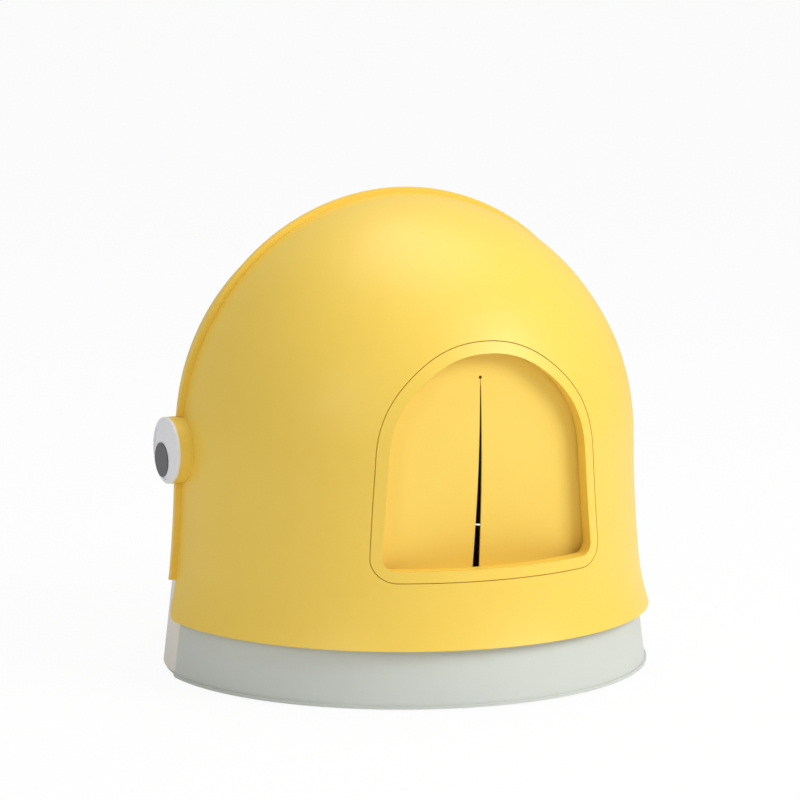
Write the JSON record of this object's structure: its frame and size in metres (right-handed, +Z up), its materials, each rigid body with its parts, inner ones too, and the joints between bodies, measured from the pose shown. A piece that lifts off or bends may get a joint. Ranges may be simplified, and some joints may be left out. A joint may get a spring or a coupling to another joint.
{
  "type": "covered litter box",
  "caption": "Domed pet litter box with a rear window closed by a slit flap, a flip-up front cover, a lift-off hood and a pull-out litter tray.",
  "frame": {"origin": "on the floor, below the middle of the overall box", "axes": "+Z up, +Y towards the rear window, -Y towards the flip-up front cover and the drawer front, +X towards the left eye"},
  "size_m": [0.48, 0.4799, 0.4599],
  "materials": {
    "cover_yellow": "satin moulded polypropylene, warm yellow",
    "eye_black": "satin black",
    "eye_white": "satin white",
    "flap_soft": "soft matt yellow sheet",
    "grey_plastic": "satin light grey",
    "pin_plastic": "natural nylon",
    "rubber": "matt black",
    "steel": "plain",
    "tray_plastic": "satin light grey",
    "white_plastic": "satin off-white",
    "yellow_plastic": "satin moulded polypropylene, warm yellow"
  },
  "bodies": {
    "base": {"base_pan": "grey_plastic", "foot_pads": "rubber"},
    "drawer": {"litter_tray": "tray_plastic", "drawer_front": "white_plastic", "drawer_screws": "steel"},
    "hood": {"hood_shell": "yellow_plastic", "window_frame": "yellow_plastic", "flap_sheet": "flap_soft", "flap_retainer": "tray_plastic", "retainer_screws": "steel", "eye_screws": "steel", "pivot_pin_left": "pin_plastic", "pivot_pin_right": "pin_plastic", "pivot_clip_left": "steel", "pivot_clip_right": "steel", "eye_housing_left": "yellow_plastic", "eye_housing_right": "yellow_plastic", "eye_face_left": "eye_white", "eye_face_right": "eye_white", "eye_pupil_left": "eye_black", "eye_pupil_right": "eye_black"},
    "cover": {"front_cover": "cover_yellow"},
    "leaf_left": {"flap_leaf_left": "flap_soft"},
    "leaf_right": {"flap_leaf_right": "flap_soft"}
  },
  "joints": [
    {"name": "hood_lift", "type": "slide", "parent": "base", "child": "hood", "axis": [0, 0, 1], "range_m": [0, 0.12]},
    {"name": "drawer_slide", "type": "slide", "parent": "base", "child": "drawer", "axis": [0, -1, 0], "range_m": [0, 0.23]},
    {"name": "cover_hinge", "type": "hinge", "parent": "hood", "child": "cover", "pos_m": [0, -0.0145, 0.22], "axis": [-1, 0, 0], "range_deg": [0, 48]},
    {"name": "leaf_left_fold", "type": "hinge", "parent": "hood", "child": "leaf_left", "pos_m": [0.0006, 0.1792, 0.305], "axis": [0.4449, 0, -0.8956], "range_deg": [-60, 20], "stiffness_Nm_per_rad": 0.02},
    {"name": "leaf_right_fold", "type": "hinge", "parent": "hood", "child": "leaf_right", "pos_m": [-0.0006, 0.1792, 0.305], "axis": [0.4449, 0, 0.8956], "range_deg": [-60, 20], "stiffness_Nm_per_rad": 0.02}
  ]
}
